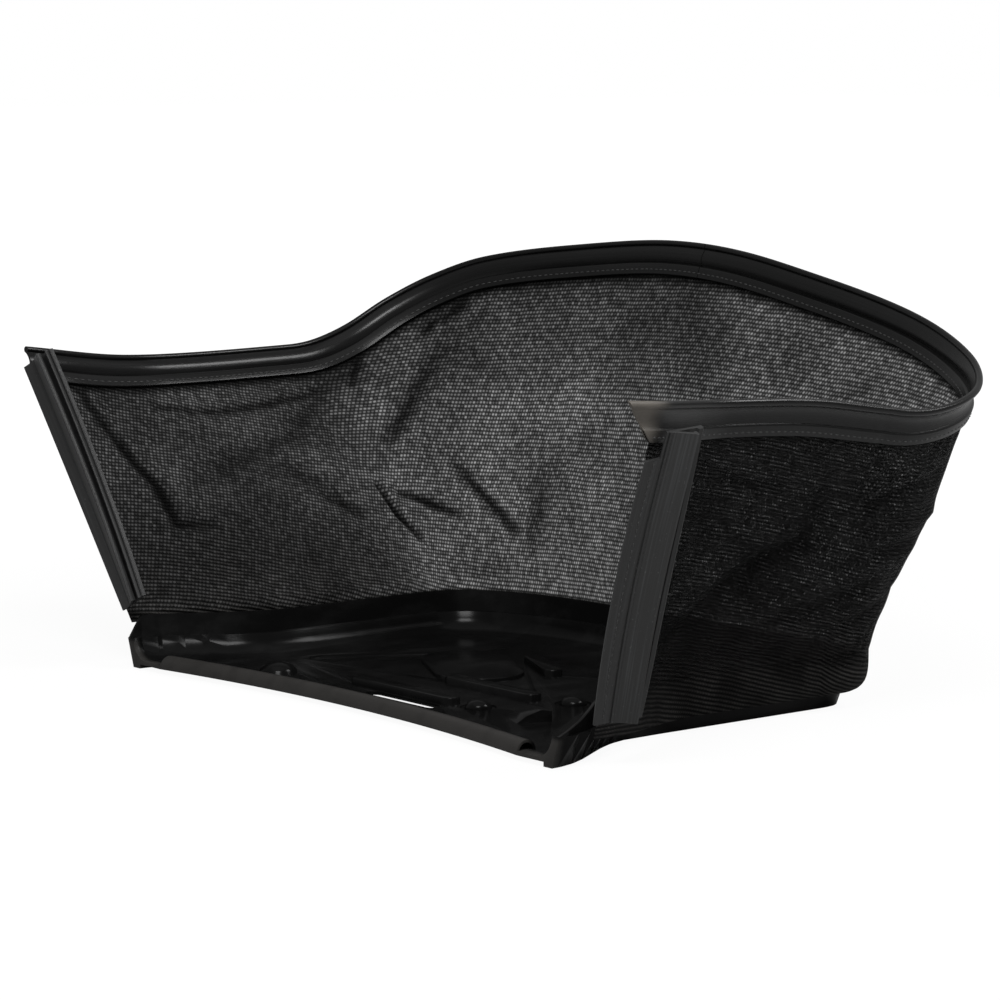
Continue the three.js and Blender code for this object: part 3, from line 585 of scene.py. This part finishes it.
def makeWall():
    columns = bag["steps"] * wallLook["perStation"] + 1
    rows = wallLook["rows"]
    lower = wallLook["lowerRows"]
    kneeRow = rows - lower
    lines, flat, loops = [], [], []
    reach = 0.0
    before = None
    for c in range(columns):
        i = c / wallLook["perStation"]
        points, out, tall = wallLine(i)
        line, opened = [], []
        for j, (p, f) in enumerate(points):
            push, openness = wrinkle(p, i, f, tall) if f is not None else (0.0, 0.0)
            if j >= kneeRow:
                # turned in under its own swell, back to the tray where it is sewn
                push = -cornerBulge(i) * (1 - ((j - kneeRow) / (lower - 1)) ** 4)
                openness = sideOpenness(i, 0) if p.z > wallLook["openBelow"] else 0.0
            line.append(p + out * push)
            opened.append(openness)
        # heights of the flat sheet, counted from the knee
        heights = [0.0] * rows
        for j in range(kneeRow - 1, -1, -1):
            heights[j] = heights[j + 1] + (points[j][0] - points[j + 1][0]).length
        for j in range(kneeRow + 1, rows):
            heights[j] = heights[j - 1] - (points[j][0] - points[j - 1][0]).length
        middle = points[rows // 2][0]
        if before is not None:
            reach += (middle - before).length
        before = middle
        lines.append([toFrame(p) for p in line])
        flat.append((reach * mm, [h * mm for h in heights]))
        loops.append(opened)
    around = reach * mm
    # the knit's rows sink away from the two front edges
    leftReach, rightReach = wallLook["swayReach"]
    sway = [wallLook["rowSway"] * eased(at / leftReach) * eased((around - at) / rightReach) for at, heights in flat]
    wall = gridPiece("knitWall", columns, rows, lambda i, j: lines[i][j],
                     lambda i, j: (flat[i][0], flat[i][1][j] + sway[i]),
                     ("openness", lambda i, j: loops[i][j]))
    solid = wall.modifiers.new("cloth", "SOLIDIFY")
    solid.thickness = wallLook["thickness"]
    solid.offset = 0
    applyModifiers(wall)
    smoothByAngle(wall, wallLook["smooth"])
    wall.data.materials.append(knitBlack)
    tall = max(heights[0] - heights[-1] for at, heights in flat)
    return wall, around, tall


wall, wallAround, wallTall = makeWall()
print("knitted wall made", round(wallAround, 3), round(wallTall, 3))

# rim in two lengths

def rimSection():
    # (into the bag, down) round the profile: bead, hollow band, fork with the cloth's slot, band again
    r, half = rimShape["bead"], rimShape["band"] / 2
    start = math.asin(half / r)
    points = []
    arc, steps = rimShape["arc"], rimShape["bowSteps"]
    for k in range(arc + 1):
        angle = start + (2 * math.pi - 2 * start) * k / arc
        points.append((r * math.sin(angle), r + r * math.cos(angle)))
    outside, inside = [], []
    for k in range(1, steps):
        f = k / steps
        bow = rimShape["hollow"] * math.sin(math.pi * f)
        outside.append((bow - half, rimNeck + rimShape["bandHeight"] * f))
        inside.append((bow + half, rimNeck + rimShape["bandHeight"] * f))
    top = rimNeck + rimShape["bandHeight"]
    foot = top + rimShape["forkHeight"]
    w, s = rimShape["forkWidth"] / 2, rimShape["slot"] / 2
    slotTop = top + rimShape["web"]
    shoulder = top + rimShape["shoulder"]
    leg = [(half, top), (w - 0.35, shoulder - 0.25), (w, shoulder + 0.35), (w, foot - 0.5), (w - 0.5, foot),
           (s, foot), (s, slotTop)]
    return points + outside + [(-p, q) for p, q in leg] + leg[::-1] + inside[::-1]


def makeRim(name, node, first, last, startGap, endGap):
    section = rimSection()
    section.append(section[0])
    per = rimShape["perStation"]
    columns = (last - first) * per + 1
    girth = [0.0]
    for (p0, q0), (p1, q1) in zip(section, section[1:]):
        girth.append(girth[-1] + math.hypot(p1 - p0, q1 - q0))
    loops, run = [], [0.0]
    for c in range(columns):
        i = first + c / per
        top, along, down, out = wallFrame(stationAt(i))
        shift = startGap if c == 0 else -endGap if c == columns - 1 else 0
        rake = rakeAt(i)
        loops.append([toFrame(top + out * p + down * q + along * (shift + rake * q)) for p, q in section])
        if c:
            run.append(run[-1] + (loops[c][0] - loops[c - 1][0]).length)
    rim = gridPiece(name, columns, len(section), lambda i, j: loops[i][j], lambda i, j: (run[i], girth[j] * mm))
    closeLoft(rim)
    smoothByAngle(rim, rimShape["smooth"])
    rim.data.materials.append(rimBlack)
    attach(rim, "root")
    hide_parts(node)


jointAt = bag["steps"] // 2 - 2
makeRim("rimLeft", "rim_left", 0, jointAt, 0, rimShape["jointGap"])
makeRim("rimRight", "rim_right", jointAt, bag["steps"], rimShape["jointGap"], 0)
print("rim made")

# tray: a welded copy of the part's own solid

trayShape = {"weld": 1e-5, "flat": 0.4, "softEdge": 0.0003, "softFrom": 40, "smooth": 32}


def makeTray():
    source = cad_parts["base_tray"]
    tray = source.copy()
    tray.data = source.data.copy()
    tray.parent = None
    for key in list(tray.keys()):
        del tray[key]
    bpy.context.scene.collection.objects.link(tray)
    tray.name = tray.data.name = "trayShell"
    only(tray)
    bpy.ops.mesh.customdata_custom_splitnormals_clear()
    bpy.ops.object.mode_set(mode="EDIT")
    bpy.ops.mesh.select_all(action="SELECT")
    bpy.ops.mesh.remove_doubles(threshold=trayShape["weld"])
    bpy.ops.mesh.dissolve_limited(angle_limit=math.radians(trayShape["flat"]))
    # the sewing flange ends where the mesh's lowest open row shows
    bpy.ops.mesh.select_all(action="SELECT")
    bpy.ops.mesh.bisect(plane_co=(0, 0, wallLook["openBelow"] * mm), plane_no=(0, 0, 1), use_fill=True,
                        clear_outer=True)
    bpy.ops.object.mode_set(mode="OBJECT")
    edge = tray.modifiers.new("softEdges", "BEVEL")
    edge.width = trayShape["softEdge"]
    edge.segments = 2
    edge.limit_method = "ANGLE"
    edge.angle_limit = math.radians(trayShape["softFrom"])
    edge.use_clamp_overlap = True
    applyModifiers(tray)
    smoothByAngle(tray, trayShape["smooth"])
    tray.data.materials.clear()
    tray.data.materials.append(trayBlack)
    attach(tray, "root")
    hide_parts("base_tray")


makeTray()
print("tray made")

# edge strips

# degrees and mm from foot to head; each lip is a list of (across, outward)
strips = {
    "left": {"station": 0, "length": 168, "foot": 34, "turns": (1, 10, 11), "laps": (1.5, 1, 1),
             "gaps": (0.5, 0.5 + 2.35 * math.tan(math.radians(11))), "opening": (5, 6.6), "notch": 0,
             "lip": [(29.6, 3.1), (28.9, 3.1), (28.6, 2.7), (28.4, 1.9), (27.9, 1.9), (27.7, 4.0), (27.2, 4.6),
                     (26.4, 4.6), (25.9, 4.0), (25.8, 1.7)]},
    "right": {"station": 74, "length": 182, "foot": 26, "turns": (84, 68, 84), "laps": (3.5, 5.4, 1),
              "gaps": (1.15, 2.85), "opening": (4.6, 4.6), "notch": 16,
              "lip": [(29.6, 3.1), (27.2, 3.1), (26.8, 2.7), (26.7, 1.7)]},
    "flange": 10.5, "face": 13.5, "wall": 1.7, "hook": 1.4, "hookDrop": 0.9, "stub": 8.5, "steps": 48,
    "smooth": 35,
}


def between(values, share):
    # straight between two values, a smooth bow through three
    first, last = values[0], values[-1]
    bow = (values[1] - (first + last) / 2) * 4 * share * (1 - share) if len(values) == 3 else 0.0
    return first + (last - first) * share + bow


def stripFrame(strip, share):
    # (place of the section's corner, direction up the strip, across it, outward) at a share of its length
    points = wallLine(strip["station"])[0]
    under, hem = points[wallLook["upperRows"]][0], points[-1][0]
    axis = (under - hem).normalized()
    foot = hem + axis * ((strip["foot"] - hem.z) / axis.z)
    turn = math.radians(between(strip["turns"], share))
    across = Vector((math.cos(turn), math.sin(turn), 0))
    across = (across - axis * across.dot(axis)).normalized()
    outward = across.cross(axis).normalized()
    p = foot + axis * strip["length"] * share - across * between(strip["laps"], share)
    return p + outward * between(strip["gaps"], share), axis, across, outward


def stripSection(strip, share, edge):
    # (across, outward): back, lip, inside of the hook, ridge, face, bead and flange
    mid, faceEnd, wall = strips["flange"], strips["flange"] + strips["face"], strips["wall"]
    climb = wall + between(strip["opening"], share)
    drop = wall * math.hypot(1, climb / strips["face"])
    hookStart = faceEnd - strips["hook"]
    under = wall + climb * (hookStart - mid) / strips["face"] - drop
    ridge = climb + wall
    points = [(edge, 0.3), (edge + 0.3, 0), (29.7, 0), (30, 0.3), (30, 2.7)] + strip["lip"]
    points += [(mid + drop * strips["face"] / climb, wall), (hookStart, under),
               (hookStart, under - strips["hookDrop"]), (faceEnd, under - strips["hookDrop"]),
               (faceEnd + 0.4, under), (faceEnd + 0.4, ridge - 0.5), (faceEnd + 0.1, ridge),
               (faceEnd - 0.5, ridge + 0.1), (faceEnd - 1.0, ridge - 0.2), (faceEnd - 1.6, ridge - 0.9)]
    points += [(mid + 1.3, wall + 0.75), (mid + 0.9, wall + 1.0), (mid + 0.2, wall + 1.0), (mid - 0.2, wall + 0.6),
               (mid - 0.3, wall - 0.25), (mid - 0.8, wall - 0.25), (mid - 1.1, wall), (edge + 0.3, wall),
               (edge, wall - 0.3)]
    return points


def makeStrip(name, node, strip):
    whole = 1 - strip["notch"] / strip["length"]
    shares = [whole * c / strips["steps"] for c in range(strips["steps"] + 1)]
    edges = [0.0] * len(shares)
    if strip["notch"]:
        # the flange is cut away below the rim
        shares += [whole + 1 / strip["length"], 1.0]
        edges += [strips["stub"], strips["stub"]]
    loops, girth = [], [0.0]
    for share, edge in zip(shares, edges):
        p, axis, across, outward = stripFrame(strip, share)
        section = stripSection(strip, share, edge)
        section.append(section[0])
        loops.append([toFrame(p + across * u + outward * v) for u, v in section])
    for a, b in zip(loops[0], loops[0][1:]):
        girth.append(girth[-1] + (b - a).length)
    piece = gridPiece(name, len(loops), len(girth), lambda i, j: loops[i][j],
                      lambda i, j: (shares[i] * strip["length"] * mm, girth[j]))
    closeLoft(piece)
    smoothByAngle(piece, strips["smooth"])
    piece.data.materials.append(stripBlack)
    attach(piece, "root")
    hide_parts(node)


makeStrip("stripLeft", "edge_strip_left", strips["left"])
makeStrip("stripRight", "edge_strip_right", strips["right"])
print("edge strips made")

# stitches

seam = {"pitch": 4.4, "length": 0.0031, "thick": 0.001, "rimUp": 3.2, "stripAcross": 5.2, "perStation": 30,
        "stripPoints": 400, "rimEnds": (3, 3), "stripEnds": (5, 16)}


def stitchRow(name, places):
    # places: (point, direction along the seam, outward direction)
    bpy.ops.object.select_all(action="DESELECT")
    bpy.ops.mesh.primitive_uv_sphere_add(segments=6, ring_count=4, radius=0.5)
    first = bpy.context.active_object
    first.data.transform(Matrix.Diagonal((seam["length"], seam["thick"], seam["thick"] * 0.8, 1)))
    pieces = []
    for point, along, out in places:
        side = out.cross(along).normalized()
        turn = Matrix((along, side, out)).transposed().to_4x4()
        stitch = first.copy()
        stitch.data = first.data.copy()
        stitch.data.transform(Matrix.Translation(point) @ turn)
        bpy.context.scene.collection.objects.link(stitch)
        pieces.append(stitch)
    bpy.data.objects.remove(first)
    bpy.ops.object.select_all(action="DESELECT")
    for stitch in pieces:
        stitch.select_set(True)
    bpy.context.view_layer.objects.active = pieces[0]
    bpy.ops.object.join()
    row = bpy.context.active_object
    row.name = row.data.name = name
    bpy.ops.object.shade_smooth()
    row.data.materials.clear()
    row.data.materials.append(threadBlack)
    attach(row, "root")


def spaced(points, start, end):
    # every seam pitch along a list of (point, along, out), but for a length left free at each end
    places = []
    whole = sum((b[0] - a[0]).length for a, b in zip(points, points[1:]))
    distance, due = 0.0, start
    for a, b in zip(points, points[1:]):
        distance += (b[0] - a[0]).length
        if distance >= due and distance < whole - end:
            due += seam["pitch"]
            places.append((toFrame(b[0]), b[1], b[2]))
    return places


def rimSeam(name, side):
    points = []
    for c in range(bag["steps"] * seam["perStation"] + 1):
        i = c / seam["perStation"]
        top, along, down, out = wallFrame(stationAt(i))
        q = rimForkFoot(-seam["rimUp"])
        p = top + down * q + along * rakeAt(i) * q + out * side * (rimShape["forkWidth"] / 2)
        points.append((p, along, out * side))
    stitchRow(name, spaced(points, *seam["rimEnds"]))


def stripSeam(name, strip):
    # along the middle of the strip's sewing flange
    points = []
    for c in range(seam["stripPoints"] + 1):
        p, axis, across, outward = stripFrame(strip, c / seam["stripPoints"])
        points.append((p + across * seam["stripAcross"] + outward * strips["wall"], axis, outward))
    stitchRow(name, spaced(points, *seam["stripEnds"]))


rimSeam("rimStitchesIn", 1)
rimSeam("rimStitchesOut", -1)
stripSeam("stripStitchesRight", strips["right"])
print("stitches made")

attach(wall, "root")
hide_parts("mesh_wall")
# the rim's slope takes about a tenth off the rectangle
round(wallAround * wallTall * 0.9, 4)

# camera, lights, floor and backdrop

studio = {
    "cameraSpot": (1.6835, -1.3853, 0.3928), "aim": (-0.0134, -0.0122, 0.1131), "lens": 131.3,
    "worldFill": 0.36, "floorSize": 30, "floorWhite": 0.5, "floorShown": 0.88, "floorGlow": 1.07,
    "floorFade": (0.5, 1.1), "lampAim": (0, 0, 0.1),
    # name, place, width and height, watts
    "lamps": [("overhead", (0.2, -0.2, 2.2), (2.2, 1.6), 5), ("cameraSide", (0.95, -0.85, 1.45), (0.7, 0.5), 22),
              ("rightRear", (0.85, 1.0, 1.3), (0.6, 0.5), 13)],
}


def lookAt(obj, spot, aim):
    obj.location = spot
    obj.rotation_euler = (Vector(aim) - Vector(spot)).to_track_quat("-Z", "Y").to_euler()


def addCamera():
    data = bpy.data.cameras.new("camera")
    data.lens = studio["lens"]
    data.sensor_width = 36
    data.clip_end = 60
    camera = bpy.data.objects.new("camera", data)
    bpy.context.scene.collection.objects.link(camera)
    lookAt(camera, studio["cameraSpot"], studio["aim"])
    bpy.context.scene.camera = camera


def addLamp(name, spot, size, power):
    data = bpy.data.lights.new(name, "AREA")
    data.shape = "RECTANGLE"
    data.size, data.size_y = size
    data.energy = power
    lamp = bpy.data.objects.new(name, data)
    bpy.context.scene.collection.objects.link(lamp)
    lookAt(lamp, spot, studio["lampAim"])


def backdropRay(g):
    # 1 for rays from the camera or through glass
    seen, through = [g.node("ShaderNodeLightPath", {}, {}, out=kind)
                     for kind in ("Is Camera Ray", "Is Transmission Ray")]
    return seen.most(through)


def addWorld():
    world = bpy.data.worlds.new("studioWhite")
    bpy.context.scene.world = world
    g = Graph(world)
    strength = backdropRay(g) * (1 - studio["worldFill"]) + studio["worldFill"]
    light = g.node("ShaderNodeBackground", {}, {0: (1, 1, 1, 1), 1: strength})
    g.node("ShaderNodeOutputWorld", {}, {0: light})


def addFloor():
    bpy.ops.object.select_all(action="DESELECT")
    bpy.ops.mesh.primitive_plane_add(size=studio["floorSize"], location=(0, 0, -0.0005))
    floor = bpy.context.active_object
    floor.name = "studioFloor"
    g = newFinish("floorWhite")
    matte = g.node("ShaderNodeBsdfDiffuse", {}, {0: grey(studio["floorWhite"])})
    glow = g.node("ShaderNodeEmission", {}, {1: studio["floorGlow"]})
    # plain white far off, with the shadow left in near the bag
    away = g.node("ShaderNodeVectorMath", {"operation": "LENGTH"}, {0: g.place()}, out="Value")
    shown = away.ramp(*studio["floorFade"], studio["floorShown"], 1.0)
    mixed = g.node("ShaderNodeMixShader", {}, {0: backdropRay(g) * shown, 1: matte, 2: glow})
    g.node("ShaderNodeOutputMaterial", {}, {0: mixed})
    floor.data.materials.append(g.holder)


addCamera()
addWorld()
addFloor()
for lamp in studio["lamps"]:
    addLamp(*lamp)
bpy.context.scene.view_settings.view_transform = "Standard"
print("studio made")
